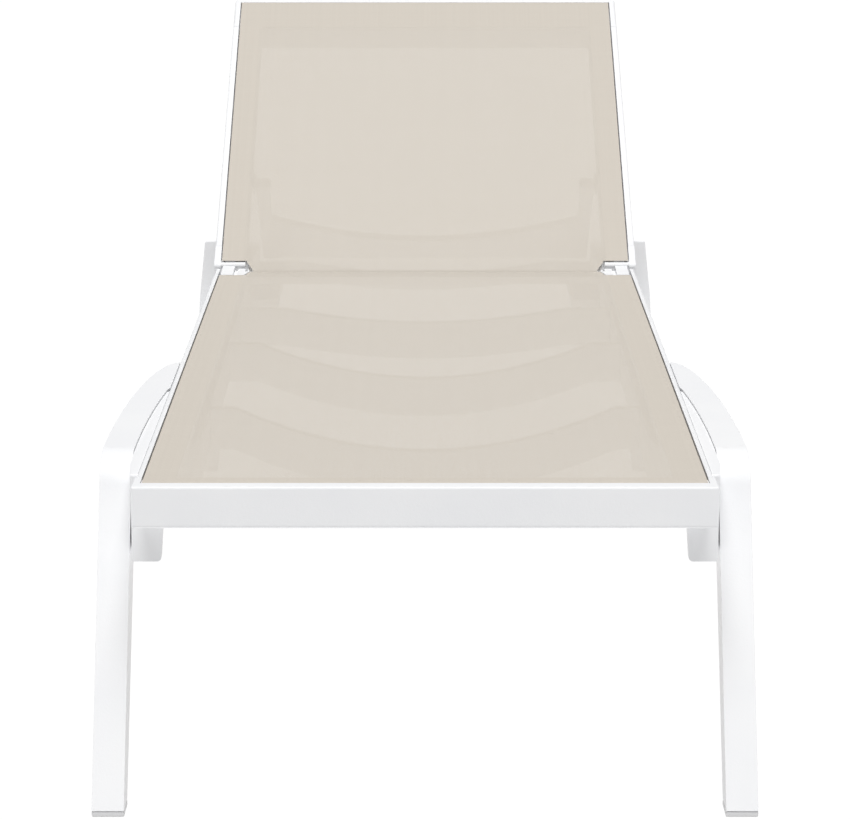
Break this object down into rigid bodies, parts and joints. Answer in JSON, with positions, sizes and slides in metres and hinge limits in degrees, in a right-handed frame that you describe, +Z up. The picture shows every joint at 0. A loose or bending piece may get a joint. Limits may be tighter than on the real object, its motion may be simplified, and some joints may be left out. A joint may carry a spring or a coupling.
{
  "type": "reclining sun lounger",
  "caption": "Low four-legged sun lounger with a flat mesh sling seat and a hinged mesh backrest that a folding prop frame holds up in toothed racks.",
  "frame": {"origin": "ground level under the middle of the lounger at rest, centred across its width and along its length", "axes": "+Z up, +Y towards the head end, +X to the right of a person looking from the foot end towards the head end"},
  "size_m": [0.7224, 1.8218, 0.6992],
  "materials": {
    "white_resin": "satin moulded resin with a very fine grain",
    "mesh_fabric": "taupe open-weave mesh, slightly see-through",
    "glide_plastic": "smooth light grey",
    "stainless_steel": "plain stainless",
    "spline_nylon": "smooth extruded rod"
  },
  "bodies": {
    "base": {"cross_member_foot": "white_resin", "cross_member_head": "white_resin", "cross_member_hinge": "white_resin", "cross_member_middle": "white_resin", "foot_glide_front_left": "glide_plastic", "foot_glide_front_right": "glide_plastic", "foot_glide_rear_left": "glide_plastic", "foot_glide_rear_right": "glide_plastic", "front_bar": "white_resin", "hinge_lug_left": "white_resin", "hinge_lug_right": "white_resin", "leg_bolt_front_left_1": "stainless_steel", "leg_bolt_front_left_2": "stainless_steel", "leg_bolt_front_right_1": "stainless_steel", "leg_bolt_front_right_2": "stainless_steel", "leg_bolt_rear_left_1": "stainless_steel", "leg_bolt_rear_left_2": "stainless_steel", "leg_bolt_rear_right_1": "stainless_steel", "leg_bolt_rear_right_2": "stainless_steel", "leg_bracket_left": "white_resin", "leg_bracket_right": "white_resin", "leg_front_left": "white_resin", "leg_front_right": "white_resin", "leg_rear_left": "white_resin", "leg_rear_right": "white_resin", "prop_rack_left": "white_resin", "prop_rack_right": "white_resin", "seat_rear_bar": "white_resin", "seat_sling": "mesh_fabric", "seat_spline_foot": "spline_nylon", "seat_spline_left": "spline_nylon", "seat_spline_right": "spline_nylon", "side_beam_left": "white_resin", "side_beam_right": "white_resin", "side_rail_left": "white_resin", "side_rail_right": "white_resin"},
    "backrest": {"backrest_bottom_bar": "white_resin", "backrest_hinge_end_left": "white_resin", "backrest_hinge_end_right": "white_resin", "backrest_rail_left": "white_resin", "backrest_rail_right": "white_resin", "backrest_sling": "mesh_fabric", "backrest_spline_head": "spline_nylon", "backrest_spline_left": "spline_nylon", "backrest_spline_right": "spline_nylon", "backrest_top_bar": "white_resin", "prop_pivot_block_left": "white_resin", "prop_pivot_block_right": "white_resin", "prop_pivot_pin_left": "stainless_steel", "prop_pivot_pin_right": "stainless_steel"},
    "prop": {"prop_arm_left": "white_resin", "prop_arm_right": "white_resin", "prop_crossbar": "white_resin"}
  },
  "joints": [
    {"name": "backrest_recline", "type": "hinge", "parent": "base", "child": "backrest", "pos_m": [0, 0.29333, 0.3774], "axis": [1, 0, 0], "range_deg": [-28, 22]},
    {"name": "prop_swing", "type": "hinge", "parent": "backrest", "child": "prop", "pos_m": [0, 0.53764, 0.45577], "axis": [1, 0, 0], "range_deg": [-57, 72.5]}
  ],
  "couplings": [
    {"joint": "prop_swing", "follows": "backrest_recline", "ratio": -2.5714}
  ]
}
